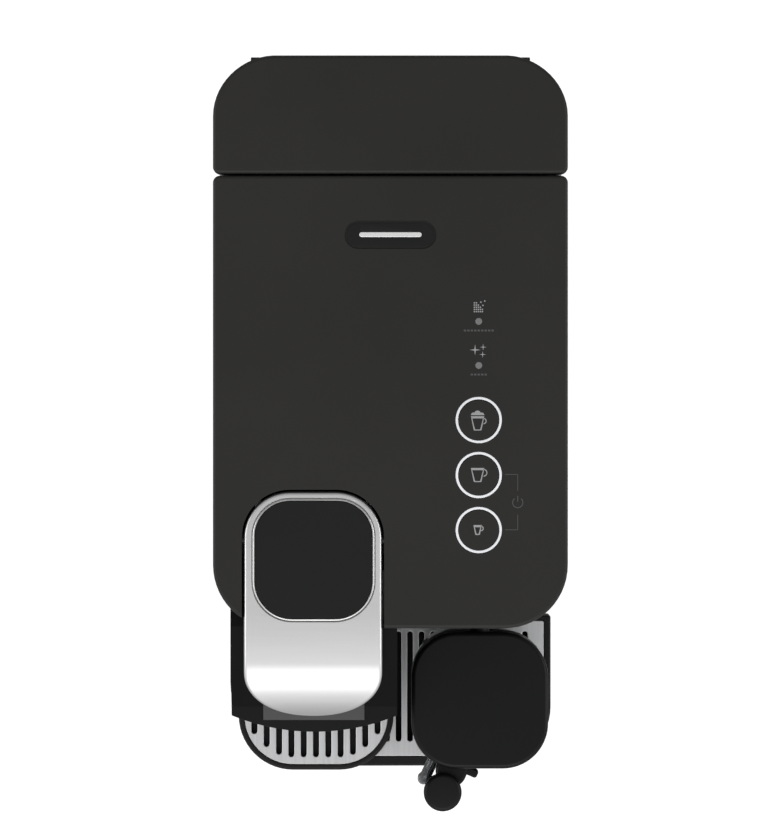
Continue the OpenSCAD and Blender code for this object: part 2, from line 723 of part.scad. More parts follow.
// Clear jug: its neck stands inside the skirt of the lid.
module milk_container() color("#9aa3a8") difference() {
    union() {
        jug_slab(2, jug_base_z, skirt_z0 - 0.2);
        jug_slab(3.6, skirt_z0 - 0.2, skirt_z0 + 7);
    }
    jug_slab(4.4, jug_base_z + wall, skirt_z0 - 8);
    jug_slab(5.6, skirt_z0 - 8.01, 300);
}

knob_r = 8.6;
knob_x = jug_x - spout_reach * sin(spout_turn);
knob_y = spout_y - spout_reach * cos(spout_turn);

// Shapes of the spout are drawn straight ahead, then turned to their rest angle.
module at_spout() translate([jug_x, spout_y, 0]) rotate([0, 0, -spout_turn]) children();

module spout_arm() color("#1d1d1d") at_spout() difference() {
    union() {
        slab(-7, 7, -spout_reach, 0, 3, 6.9, slot_z0 + 0.4, slot_z1 - 0.5);
        rod_z([0, 0, slot_z0 + 0.4], 9, 10.6);
        rod_z([0, -spout_reach, slot_z0 - 6], 7.4, 17);
        box(3, 11.5, -30.6, -27, slot_z0 + 1, slot_z1 - 1.5);
    }
    rod_z([0, 0, 100], 3 + run_gap, 80);
}

module spout_knob() color("#1f1f1f") translate([knob_x, knob_y, slot_z0 + 11]) rotate_extrude()
    polygon([[0, 0], [knob_r, 0], [knob_r, 6], [knob_r - 0.9, 7.2], [0, 7.6]]);

// Clear tube beside the arm and the spout that points down into the cup.
module milk_outlet() color("#b8bcc0") at_spout() {
    rod_z([-9.6, -36, 128], 2.6, 22);
    difference() {
        rod_z([0, -spout_reach, 122], 5, 19);
        rod_z([0, -spout_reach, 120], 3.2, 18);
    }
    rod_y([-9.6, -36, 150], 2.6, 18);
}

// ---- Buttons ----

module button_at(i) color("#2f2e2c") translate([buttons[i][0], buttons[i][1], 0]) {
    rod_z([0, 0, skin_z], ring_r - ring_w - 0.25, wall);
    rod_z([0, 0, skin_z - 2.2], ring_r - 0.5, 1.9);
    rod_z([0, 0, skin_z - 0.31], ring_r - ring_w - 0.25, 0.4);
    rod_z([0, 0, board_z + 4 + button_travel + 0.2], 2.2, skin_z - 2 - board_z - 4 - button_travel);
}

module lungo_button() button_at(0);
module espresso_button() button_at(1);
module milk_button() button_at(2);

base();
bottom_cover();
rubber_feet();
base_screws();
cord_gland();
left_side_panel();
right_side_panel();
front_wall();
tank_bay_wall();
top_panel();
light_rings();
indicator_lenses();
badge();
head_housing();
spout_trim();
coffee_outlet();
brew_frame();
lever_shaft();
extraction_plate();
capsule_guides();
capsule_chute();
inner_frame();
thermoblock();
pump();
pump_mounts();
flow_meter();
steam_valve();
water_hoses();
control_board();
button_switches();
power_board();
steam_connector();
tank_valve_seat();
lever_frame();
lever_insert();
lever_cams();
capsule_cage();
cage_arms();
cage_pins();
piercing_blades();
water_tank();
tank_outlet_valve();
lid_hinge_pins();
tank_lid();
drip_tray();
capsule_container();
drip_grid();
cup_support_rim();
cup_support_grid();
cup_support_pins();
jug_lid();
milk_tube();
spout_pivot_pin();
milk_container();
spout_arm();
spout_knob();
milk_outlet();
lungo_button();
espresso_button();
milk_button();
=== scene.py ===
"""Pod coffee machine: the looks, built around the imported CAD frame. Lengths are in metres."""

import json
import math

import bmesh
import bpy
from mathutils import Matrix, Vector

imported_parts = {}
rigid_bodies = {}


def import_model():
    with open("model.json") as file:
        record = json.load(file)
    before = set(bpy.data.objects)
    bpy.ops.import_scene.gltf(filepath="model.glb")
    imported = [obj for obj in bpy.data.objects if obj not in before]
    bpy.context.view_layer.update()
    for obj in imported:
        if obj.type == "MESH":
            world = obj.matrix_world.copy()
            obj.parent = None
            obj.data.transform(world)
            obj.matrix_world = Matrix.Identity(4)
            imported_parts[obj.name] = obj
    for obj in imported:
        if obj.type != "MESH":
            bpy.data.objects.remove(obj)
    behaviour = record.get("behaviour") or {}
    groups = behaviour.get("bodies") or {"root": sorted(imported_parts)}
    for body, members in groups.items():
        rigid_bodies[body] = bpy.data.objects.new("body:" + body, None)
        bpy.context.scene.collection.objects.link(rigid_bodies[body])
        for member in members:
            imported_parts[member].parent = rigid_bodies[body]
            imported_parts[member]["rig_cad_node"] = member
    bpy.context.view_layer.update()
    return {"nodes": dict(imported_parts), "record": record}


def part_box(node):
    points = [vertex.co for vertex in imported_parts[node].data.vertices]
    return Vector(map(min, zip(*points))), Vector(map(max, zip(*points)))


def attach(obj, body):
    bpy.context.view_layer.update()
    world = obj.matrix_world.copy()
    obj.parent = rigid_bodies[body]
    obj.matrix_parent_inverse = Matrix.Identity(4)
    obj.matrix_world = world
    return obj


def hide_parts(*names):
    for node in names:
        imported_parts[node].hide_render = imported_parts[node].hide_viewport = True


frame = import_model()
SCENE = bpy.context.scene
MM = 0.001
BEVEL_ANGLE = math.radians(40)
OVER = 10 * MM  # how far a cutter runs past the face that it cuts
SKY = 0.3  # a height above the whole machine, for cutters that are open upwards


# ---- Outlines: lists of (x, y) points, anticlockwise ----

def arc(cx, cy, radius, start, end, steps):
    """Points on an arc, with angles in degrees."""
    angles = [math.radians(start + (end - start) * i / steps) for i in range(steps + 1)]
    return [(cx + radius * math.cos(a), cy + radius * math.sin(a)) for a in angles]


def rounded_rect(x0, x1, y0, y1, front_r, rear_r, steps=14, left_r=None):
    """A rectangle with its own corner radii at the front (y0) and at the rear (y1).

    left_r, where given, is the radius of the front left corner."""
    left_r = left_r or front_r
    return (arc(x1 - front_r, y0 + front_r, front_r, -90, 0, steps)
            + arc(x1 - rear_r, y1 - rear_r, rear_r, 0, 90, steps)
            + arc(x0 + rear_r, y1 - rear_r, rear_r, 90, 180, steps)
            + arc(x0 + left_r, y0 + left_r, left_r, 180, 270, steps))


def circle(cx, cy, radius, steps=64):
    return arc(cx, cy, radius, 0, 360 * (steps - 1) / steps, steps - 1)


def stadium(cx, y0, y1, width, steps=8):
    """A slot with round ends that runs along Y."""
    r = width / 2
    return arc(cx, y1 - r, r, 0, 180, steps) + arc(cx, y0 + r, r, 180, 360, steps)


def inset(points, depth):
    """The outline moved inwards by depth, along the bisector at each point."""
    moved = []
    count = len(points)
    for i, (x, y) in enumerate(points):
        ax, ay = points[i - 1]
        bx, by = points[(i + 1) % count]
        tx, ty = bx - ax, by - ay
        size = math.hypot(tx, ty) or 1.0
        moved.append((x - ty / size * depth, y + tx / size * depth))
    return moved


# ---- Meshes ----

def new_object(name, bm):
    bmesh.ops.recalc_face_normals(bm, faces=bm.faces)
    mesh = bpy.data.meshes.new(name)
    bm.to_mesh(mesh)
    bm.free()
    piece = bpy.data.objects.new(name, mesh)
    SCENE.collection.objects.link(piece)
    return piece


def round_over(z_edge, radius, up, steps=5):
    """Levels (z, inset) of a quarter round that ends at z_edge; up is +1 for a top edge."""
    levels = []
    for i in range(steps + 1):
        a = math.pi / 2 * i / steps
        levels.append((z_edge - up * radius * (1 - math.sin(a)), radius * (1 - math.cos(a))))
    return levels if up > 0 else levels[::-1]


def stacked(name, outline, levels):
    """A closed solid from an outline repeated at levels of (z, inset)."""
    bm = bmesh.new()
    rings = []
    for z, depth in levels:
        ring = inset(outline, depth) if depth else outline
        rings.append([bm.verts.new((x, y, z)) for x, y in ring])
    for low, high in zip(rings, rings[1:]):
        for i in range(len(low)):
            j = (i + 1) % len(low)
            bm.faces.new((low[i], low[j], high[j], high[i]))
    bm.faces.new(rings[0][::-1])
    bm.faces.new(rings[-1])
    return new_object(name, bm)


def solid(name, outline, z0, z1, top=0.0, bottom=0.0):
    """A plate or block with rounded top and bottom edges."""
    low = round_over(z0, bottom, -1) if bottom else [(z0, 0.0)]
    high = round_over(z1, top, 1) if top else [(z1, 0.0)]
    return stacked(name, outline, low + high)


def turned(name, cx, cy, profile, steps=72):
    """A turned piece from a profile of (radius, z) points; it stands on a vertical axis."""
    bm = bmesh.new()
    rings = []
    for r, z in profile:
        rings.append([bm.verts.new((cx + r * math.cos(2 * math.pi * i / steps),
                                    cy + r * math.sin(2 * math.pi * i / steps), z)) for i in range(steps)])
    for low, high in zip(rings, rings[1:]):
        for i in range(steps):
            j = (i + 1) % steps
            bm.faces.new((low[i], low[j], high[j], high[i]))
    bm.faces.new(rings[0])
    bm.faces.new(rings[-1])
    return new_object(name, bm)


def carve(piece, cutters):
    """Cuts the cutters out of the piece and removes them."""
    for cutter in cutters:
        mod = piece.modifiers.new("cut", "BOOLEAN")
        mod.operation = "DIFFERENCE"
        mod.solver = "EXACT"
        mod.object = cutter
        apply_modifiers(piece)
        bpy.data.objects.remove(cutter)


def unite(piece, others):
    """Joins the others to the piece as one solid."""
    for other in others:
        mod = piece.modifiers.new("join", "BOOLEAN")
        mod.operation = "UNION"
        mod.solver = "EXACT"
        mod.object = other
        apply_modifiers(piece)
        bpy.data.objects.remove(other)


def apply_modifiers(piece):
    graph = bpy.context.evaluated_depsgraph_get()
    mesh = bpy.data.meshes.new_from_object(piece.evaluated_get(graph))
    old = piece.data
    piece.modifiers.clear()
    piece.data = mesh
    bpy.data.meshes.remove(old)


def join(name, parts):
    """One object from several, for pieces that repeat."""
    bm = bmesh.new()
    for part in parts:
        bm.from_mesh(part.data)
        bpy.data.objects.remove(part)
    return new_object(name, bm)


def soften(piece, width, segments=3, angle=BEVEL_ANGLE):
    """Rounds the sharp edges and keeps the flat faces flat in shading."""
    bevel = piece.modifiers.new("round", "BEVEL")
    bevel.width = width
    bevel.segments = segments
    bevel.limit_method = "ANGLE"
    bevel.angle_limit = angle
    bevel.miter_outer = "MITER_ARC"
    smooth(piece)


def smooth(piece):
    if not piece.get("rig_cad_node"):
        for face in piece.data.polygons:
            face.use_smooth = True
    normals = piece.modifiers.new("flats", "WEIGHTED_NORMAL")
    normals.keep_sharp = True
    normals.weight = 100


def place(piece, body, slot, material, *nodes):
    """Puts a finished piece on its body with its material, and hides the CAD nodes that it stands for; slot
    is not used.
    """
    piece.data.materials.clear()
    piece.data.materials.append(material)
    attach(piece, body)
    if nodes:
        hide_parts(*nodes)
    return piece


# ---- Materials ----

class Shader:
    """A material's node tree, with short calls for the nodes that these materials share."""

    def __init__(self, name):
        self.material = bpy.data.materials.new(name)
        self.material.use_nodes = True
        self.nodes = self.material.node_tree.nodes
        self.links = self.material.node_tree.links
        self.bsdf = self.nodes["Principled BSDF"]
        self.coords = self.nodes.new("ShaderNodeTexCoord").outputs["Object"]

    def set(self, **values):
        for key, value in values.items():
            self.bsdf.inputs[key.replace("_", " ")].default_value = value

    def noise(self, scale, detail=3.0, stretch=None):
        node = self.nodes.new("ShaderNodeTexNoise")
        node.inputs["Scale"].default_value = scale
        node.inputs["Detail"].default_value = detail
        source = self.coords
        if stretch:
            mapping = self.nodes.new("ShaderNodeMapping")
            mapping.inputs["Scale"].default_value = stretch
            self.links.new(source, mapping.inputs["Vector"])
            source = mapping.outputs["Vector"]
        self.links.new(source, node.inputs["Vector"])
        return node.outputs["Fac"]

    def ramp(self, factor, low, high, start=0.35, end=0.65):
        node = self.nodes.new("ShaderNodeValToRGB")
        node.color_ramp.elements[0].position = start
        node.color_ramp.elements[0].color = (*low, 1)
        node.color_ramp.elements[1].position = end
        node.color_ramp.elements[1].color = (*high, 1)
        self.links.new(factor, node.inputs["Fac"])
        return node.outputs["Color"]

    def span(self, factor, low, high):
        node = self.nodes.new("ShaderNodeMapRange")
        node.inputs["To Min"].default_value = low
        node.inputs["To Max"].default_value = high
        self.links.new(factor, node.inputs["Value"])
        return node.outputs["Result"]

    def bump(self, height, strength, distance, onto=None):
        node = self.nodes.new("ShaderNodeBump")
        node.inputs["Strength"].default_value = strength
        node.inputs["Distance"].default_value = distance
        self.links.new(height, node.inputs["Height"])
        if onto:
            self.links.new(onto, node.inputs["Normal"])
        return node.outputs["Normal"]

    def link(self, output, socket):
        self.links.new(output, self.bsdf.inputs[socket])


def shade(color, factor):
    return tuple(min(1.0, c * factor) for c in color)


def plastic(name, color, roughness, grain=2600.0, depth=0.00002, specular=0.5, coat=0.0):
    """Moulded plastic: fine grain, and a slow drift of tone and gloss."""
    s = Shader(name)
    s.set(Specular_IOR_Level=specular, Coat_Weight=coat, Coat_Roughness=0.08)
    drift = s.noise(9.0, 4.0)
    s.link(s.ramp(drift, shade(color, 0.90), shade(color, 1.10)), "Base Color")
    s.link(s.span(s.noise(38.0, 5.0), roughness - 0.04, roughness + 0.04), "Roughness")
    s.link(s.bump(s.noise(grain, 2.0), 0.35, depth), "Normal")
    return s.material


def metal(name, color, roughness, brush=None, streak=1.0):
    """Metal with fine brush lines along one axis, or a satin plated skin without them.

    streak sets how strongly the lines show."""
    s = Shader(name)
    s.set(Metallic=1.0)
    lines = s.noise(1.0, 4.0, brush) if brush else s.noise(1800.0, 2.0)
    s.link(s.ramp(lines, shade(color, 1 - 0.07 * streak), shade(color, 1 + 0.05 * streak), 0.25, 0.75),
           "Base Color")
    s.link(s.span(lines, roughness - 0.05 * streak, roughness + 0.07 * streak), "Roughness")
    s.link(s.bump(lines, 0.16 * streak, 0.00002), "Normal")
    return s.material


def clear(name, color, roughness, transmission=0.9):
    """Clear or smoked moulded plastic with faint ripples in its wall."""
    s = Shader(name)
    s.set(IOR=1.49, Transmission_Weight=transmission)
    s.link(s.ramp(s.noise(14.0), shade(color, 0.94), shade(color, 1.04)), "Base Color")
    s.link(s.span(s.noise(60.0, 4.0), roughness, roughness + 0.05), "Roughness")
    s.link(s.bump(s.noise(90.0, 2.0), 0.1, 0.00005), "Normal")
    return s.material


BODY_DARK = (0.0182, 0.0176, 0.0164)
MATERIALS = {
    "body_plastic": plastic("body_plastic", BODY_DARK, 0.42, specular=0.20),
    "button_plastic": plastic("button_plastic", BODY_DARK, 0.40, specular=0.20),
    "black_plastic": plastic("black_plastic", (0.0065, 0.0065, 0.0065), 0.42, specular=0.20),
    "gloss_black": plastic("gloss_black", (0.0035, 0.0035, 0.0040), 0.32, 1500.0, 0.00001, 0.07),
    "lid_black": plastic("lid_black", (0.0050, 0.0050, 0.0050), 0.32, specular=0.16),
    "insert_black": plastic("insert_black", (0.0080, 0.0080, 0.0080), 0.30, specular=0.20),
    "grey_plastic": plastic("grey_plastic", (0.062, 0.060, 0.060), 0.45, specular=0.15),
    "white_ring": plastic("white_ring", (0.80, 0.81, 0.83), 0.25),
    "white_plastic": plastic("white_plastic", (0.72, 0.72, 0.70), 0.40),
    "satin_metal": metal("satin_metal", (0.62, 0.62, 0.61), 0.30),
    "satin_chrome": metal("satin_chrome", (0.65, 0.647, 0.645), 0.38, (30.0, 900.0, 30.0), 0.25),
    "grid_metal": metal("grid_metal", (0.66, 0.66, 0.665), 0.32, (900.0, 25.0, 900.0)),
    "dark_steel": metal("dark_steel", (0.05, 0.05, 0.05), 0.45),
    "badge_metal": metal("badge_metal", (0.86, 0.86, 0.85), 0.40),
    "steel": metal("steel", (0.55, 0.56, 0.57), 0.30, (40.0, 700.0, 700.0)),
    "cast_aluminium": metal("cast_aluminium", (0.60, 0.61, 0.62), 0.48),
    "brass": metal("brass", (0.62, 0.47, 0.22), 0.32, (500.0, 60.0, 500.0)),
    "rubber": plastic("rubber", (0.012, 0.012, 0.012), 0.75, 1200.0, 0.00004, 0.3),
    "hose_rubber": plastic("hose_rubber", (0.55, 0.52, 0.46), 0.45),
    "board": plastic("board", (0.010, 0.090, 0.040), 0.35, 900.0),
    "smoked_clear": clear("smoked_clear", (0.16, 0.16, 0.17), 0.10),
    "clear_plastic": clear("clear_plastic", (0.80, 0.83, 0.85), 0.06),
}
PIPE_SMOKE = clear("pipe_smoke", (0.20, 0.21, 0.22), 0.12)
PRINT_GREY = plastic("print_grey", (0.30, 0.30, 0.30), 0.45)
LED_GREY = plastic("led_grey", (0.16, 0.16, 0.16), 0.30)
PRINT_DIM = plastic("print_dim", (0.060, 0.060, 0.060), 0.45)


def span_of(node):
    """x0, x1, y0, y1, z0, z1 of a CAD node."""
    low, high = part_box(node)
    return low.x, high.x, low.y, high.y, low.z, high.z


def bowed(points, edge_y, depth, half, amount):
    """Bows the outline's edge near edge_y: it falls away from the middle by amount at half."""
    moved = []
    for x, y in points:
        near = max(0.0, 1 - abs(y - edge_y) / depth)
        moved.append((x, y - math.copysign(amount, edge_y) * near * (x / half) ** 2))
    return moved


# ---- Top panel and tank lid ----

LEVER = span_of("lever_frame")
PANEL = span_of("top_panel")
LEVER_X = (LEVER[0] + LEVER[1]) / 2
LEVER_HALF = (LEVER[1] - LEVER[0]) / 2
LEVER_REAR_R = 20 * MM
PANEL_TOP = PANEL[5]
BUTTONS = ("lungo_button", "espresso_button", "milk_button")


def middle(node):
    x0, x1, y0, y1, z0, z1 = span_of(node)
    return (x0 + x1) / 2, (y0 + y1) / 2


def pill(span, grow):
    """Outline with round ends over a node's span, grown all round."""
    x0, x1, y0, y1 = span[0] - grow, span[1] + grow, span[2] - grow, span[3] + grow
    r = (y1 - y0) / 2
    return rounded_rect(x0, x1, y0, y1, r, r, 20)


def badge():
    """A plain plaque: a dark field inside a bright rim, with one bright bar across it."""
    b = span_of("badge")
    y = (b[2] + b[3]) / 2
    field_low = b[4] + 0.3 * MM
    bright_top = b[5] + 0.1 * MM
    ease = 0.25 * MM

    def bar_shape(half, depth, r):
        return rounded_rect(-half, half, y - depth, y + depth, r, r)

    rim = solid("badge_rim", pill(b, 0.0), b[4], bright_top, ease)
    carve(rim, [solid("cut", pill(b, -1.0 * MM), field_low, SKY)])
    bar = solid("badge_bar", bar_shape(13.5 * MM, 1.1 * MM, 1 * MM), field_low, bright_top, ease)
    bright = join("badge_plate", [rim, bar])
    smooth(bright)
    place(bright, "chassis", "satin_metal", MATERIALS["badge_metal"], "badge")
    field = solid("badge_field", pill(b, -1.05 * MM), b[4] + 0.32 * MM, b[5] - 0.05 * MM)
    carve(field, [solid("cut", bar_shape(13.6 * MM, 1.2 * MM, 1.1 * MM), b[4], SKY)])
    smooth(field)
    place(field, "chassis", "black_plastic", MATERIALS["black_plastic"])


def top_panel():
    x0, x1, y0, y1, z0, z1 = PANEL
    z0 = PANEL_TOP - 10 * MM
    outline = rounded_rect(x0, x1, y0, y1, 27.5 * MM, 3 * MM)
    piece = solid("top_panel_skin", outline, z0, z1, 1.6 * MM, 0.5 * MM)
    gap = 0.9 * MM
    ahead = -130 * MM
    notch = rounded_rect(LEVER[0] - gap, LEVER[1] + gap, ahead, LEVER[3] + gap, 5 * MM, LEVER_REAR_R + gap)
    cutters = [solid("cut", notch, z0 - OVER, z1 + OVER)]
    for node in BUTTONS:
        cutters.append(solid("cut", circle(*middle(node), 10.1 * MM), z0 - OVER, z1 + OVER))
    cutters.append(solid("cut", pill(span_of("badge"), 0.1 * MM), z1 - 0.9 * MM, z1 + OVER))
    carve(piece, cutters)
    soften(piece, 0.3 * MM, 2)
    place(piece, "chassis", "body_plastic", MATERIALS["body_plastic"], "top_panel")


def tank_lid():
    x0, x1, y0, y1, z0, z1 = span_of("tank_lid")
    wall = 2.5 * MM
    outline = bowed(rounded_rect(x0, x1, y0, y1, 3 * MM, 26 * MM), y1, y1 - y0, 55 * MM, 1.3 * MM)
    piece = solid("tank_lid_skin", outline, z0, z1, 1.6 * MM, 0.5 * MM)
    hollow = rounded_rect(x0 + wall, x1 - wall, y0 + wall, y1 - 2.7 * MM, 1 * MM, 23.5 * MM)
    carve(piece, [solid("cut", hollow, z0 - OVER, z1 - wall)])
    hinge_y, hinge_z = y1 - 4.5 * MM, z0 + 3.5 * MM
    half, reach, ease = 2 * MM, 2.6 * MM, 0.4 * MM
    for x in (-53 * MM, 53 * MM):
        for side in (-1, 1):
            mid = x + side * 5.6 * MM
            boss = rounded_rect(mid - half, mid + half, hinge_y - reach, hinge_y + reach, ease, ease, 3)
            unite(piece, [solid("boss", boss, hinge_z - reach, z1 - wall + 0.3 * MM)])
    soften(piece, 0.25 * MM, 2)
    place(piece, "tank_lid", "body_plastic", MATERIALS["body_plastic"], "tank_lid")


# ---- Lever ----

CURL_START = -97 * MM
CURL_RADIUS = 27 * MM
BOW_REAR = -60 * MM
BOW_FRONT = -76 * MM


def lever_outline():
    """Plan outline of the lever, unrolled along its curl: rounded rear, straight sides, bowed tip."""
    rear_r = LEVER_REAR_R
    tip_depth = 20.2 * MM
    power = 2.2
    x0, x1 = LEVER[0], LEVER[1]
    points = [(x1, CURL_START), (x1, BOW_REAR)]
    points += arc(x1 - rear_r, LEVER[3] - rear_r, rear_r, 0, 90, 16)
    points += arc(x0 + rear_r, LEVER[3] - rear_r, rear_r, 90, 180, 16)
    points += [(x0, BOW_REAR), (x0, CURL_START)]
    steps = 44
    for i in range(steps + 1):
        u = -LEVER_HALF * math.cos(math.pi * i / steps)
        share = min(1.0, abs(u) / LEVER_HALF)
        y = LEVER[2] + tip_depth * (1 - (1 - share ** power) ** (1 / power))
        lean = min(1.0, (CURL_START - y) / CURL_RADIUS)
        points.append((LEVER_X + u, CURL_START - CURL_RADIUS * math.asin(lean)))
    return points


def bow(piece):
    """Lets the lever fall away a little, smoothly, towards its rear and its front."""
    for v in piece.data.vertices:
        rear = max(0.0, v.co.y - BOW_REAR)
        front = max(0.0, BOW_FRONT - v.co.y)
        bend = min(front, BOW_FRONT - CURL_START)
        v.co.z -= 0.5 * rear ** 2 + 2.2 * bend ** 2 + (front - bend) * 4.4 * bend


def curl(piece):
    """Bends the flat lever down past its straight part, and thins it towards the tip."""
    reach = 30 * MM
    for v in piece.data.vertices:
        past = CURL_START - v.co.y
        if past <= 0:
            continue
        share = min(1.0, past / reach)
        depth = (PANEL_TOP - v.co.z) * (1 - 0.5 * share)
        angle = past / CURL_RADIUS
        radius = CURL_RADIUS - depth
        v.co.y = CURL_START - radius * math.sin(angle)
        v.co.z = PANEL_TOP - CURL_RADIUS + radius * math.cos(angle)


def slice_along(piece, start, end, count):
    """Cuts the mesh into strips across Y, so that it can bend."""
    bm = bmesh.new()
    bm.from_mesh(piece.data)
    for i in range(count + 1):
        y = start + (end - start) * i / count
        bmesh.ops.bisect_plane(bm, geom=bm.verts[:] + bm.edges[:] + bm.faces[:], plane_co=(0, y, 0),
                               plane_no=(0, 1, 0), dist=1e-6)
    bm.to_mesh(piece.data)
    bm.free()


def lever():
    x0, x1, y0, y1, z0, z1 = span_of("lever_insert")

    def window(grow):
        return rounded_rect(x0 - grow, x1 + grow, y0 - grow, y1 + grow, 16.4 * MM + grow, 15.4 * MM + grow)

    thick = 9 * MM
    piece = solid("lever_skin", lever_outline(), PANEL_TOP - thick, PANEL_TOP, 1.5 * MM, 1.5 * MM)
    carve(piece, [solid("cut", window(1.35 * MM), PANEL_TOP - 2.4 * MM, PANEL_TOP + OVER)])
    slice_along(piece, CURL_START, CURL_START - 31 * MM, 22)
    slice_along(piece, LEVER[3], CURL_START, 20)
    curl(piece)
    bow(piece)
    soften(piece, 0.35 * MM, 2, math.radians(60))
    bezel = solid("bezel", window(1.0 * MM), z0, PANEL_TOP + 0.05 * MM, 0.8 * MM)
    carve(bezel, [solid("cut", window(0.1 * MM), z0 - OVER, PANEL_TOP + OVER)])
    slice_along(bezel, y1, y0, 14)
    bow(bezel)
    smooth(bezel)
    place(bezel, "lever", "satin_chrome", MATERIALS["satin_metal"])
    place(piece, "lever", "satin_chrome", MATERIALS["satin_chrome"], "lever_frame")
    plate = solid("lever_window", window(0.0), z0, z1, 0.5 * MM)
    slice_along(plate, y1, y0, 14)
    bow(plate)
    smooth(plate)
    place(plate, "lever", "insert_black", MATERIALS["insert_black"], "lever_insert")


# ---- Buttons and prints on the panel ----

BRACKET_X = middle(BUTTONS[0])[0] + 11.4 * MM

def flat_print(name, outlines, z, body, material):
    """A printed mark: thin plates that stand just proud of the surface. Holes follow their outline."""
    parts = []
    for outer, holes in outlines:
        part = solid(name, outer, z - 0.05 * MM, z + 0.03 * MM)
        carve(part, [solid("cut", hole, z - OVER, z + OVER) for hole in holes])
        parts.append(part)
    piece = join(name, parts)
    place(piece, body, "white_ring", material)


def cup_outline(cx, top, width, height, line):
    """A cup that tapers to its foot, with small round corners below; line insets it all round."""
    half = width / 2 - line
    foot = width * 0.30 - line
    low = top - height + line
    r = 0.5 * MM
    return ([(cx - half, top - line)] + arc(cx - foot + r, low + r, r, 190, 270, 4)
            + arc(cx + foot - r, low + r, r, 270, 350, 4) + [(cx + half, top - line)])


def cup_print(name, node, width, height, foam):
    """A cup with a thick rim and a handle; a tall one has a heap of foam above its rim."""
    cx, cy = middle(node)
    line = 0.42 * MM
    rim = 0.95 * MM
    foam_height = 2.9 * MM if foam else 0.0
    top = cy + height / 2 - foam_height
    left = cx - 0.5 * MM
    bowl = width - 1.8 * MM
    body_height = height - foam_height
    inside = cup_outline(left, top - rim + line, bowl - 0.3 * MM, body_height - rim + line, line)
    marks = [(cup_outline(left, top, bowl, body_height, 0), [inside])]
    handle = (left + bowl / 2 - 0.35 * MM, top - body_height * 0.34)
    outer = 0.28 * body_height if not foam else 0.22 * body_height
    marks.append((arc(*handle, outer, -90, 90, 10) + arc(*handle, outer - line, 90, -90, 10), []))
    if foam:
        base = top + 0.45 * MM
        marks.append((arc(left + 1.75 * MM, base, 1.15 * MM, 0, 110, 8)
                      + arc(left, base + 0.55 * MM, 1.45 * MM, 40, 140, 8)
                      + arc(left - 1.75 * MM, base, 1.15 * MM, 70, 180, 8), []))
    flat_print(name, marks, span_of(node)[5], node, PRINT_GREY)


def controls():
    for node in BUTTONS:
        cx, cy = middle(node)
        ring = turned_ring(node + "_ring", cx, cy, 8.95 * MM, 10.05 * MM, PANEL_TOP - 2.5 * MM, PANEL_TOP)
        smooth(ring)
        if node == BUTTONS[0]:
            place(ring, "chassis", "white_ring", MATERIALS["white_ring"], "light_rings")
        else:
            place(ring, "chassis", "white_ring", MATERIALS["white_ring"])
        z0, z1 = span_of(node)[4:]
        cap = turned(node + "_cap", cx, cy, [
            (2.2 * MM, z0), (2.2 * MM, z1 - 4.7 * MM), (9.6 * MM, z1 - 4.7 * MM), (9.6 * MM, z1 - 2.9 * MM),
            (8.75 * MM, z1 - 2.8 * MM), (8.75 * MM, z1 - 0.35 * MM), (8.65 * MM, z1 - 0.1 * MM),
            (8.40 * MM, z1), (0.5 * MM, z1)])
        smooth(cap)
        place(cap, node, "button_plastic", MATERIALS["button_plastic"], node)
    cup_print("foam_cup_print", BUTTONS[0], 7.6 * MM, 9.1 * MM, True)
    cup_print("lungo_cup_print", BUTTONS[1], 7.6 * MM, 6.1 * MM, False)
    cup_print("small_cup_print", BUTTONS[2], 5.4 * MM, 4.3 * MM, False)
    panel_prints()


def turned_ring(name, cx, cy, inner, outer, z0, z1, steps=72):
    ease = 0.12 * MM
    profile = [(inner, z0), (outer, z0), (outer, z1 - ease), (outer - ease, z1), (inner + ease, z1),
               (inner, z1 - ease)]
    bm = bmesh.new()
    rings = []
    for r, z in profile:
        rings.append([bm.verts.new((cx + r * math.cos(2 * math.pi * i / steps),
                                    cy + r * math.sin(2 * math.pi * i / steps), z)) for i in range(steps)])
    for k, low in enumerate(rings):
        high = rings[(k + 1) % len(rings)]
        for i in range(steps):
            j = (i + 1) % steps
            bm.faces.new((low[i], low[j], high[j], high[i]))
    return new_object(name, bm)


def bar_outline(cx, cy, width, height):
    """A small upright rectangle about its middle."""
    r = 0.05 * MM
    return rounded_rect(cx - width / 2, cx + width / 2, cy - height / 2, cy + height / 2, r, r, 2)


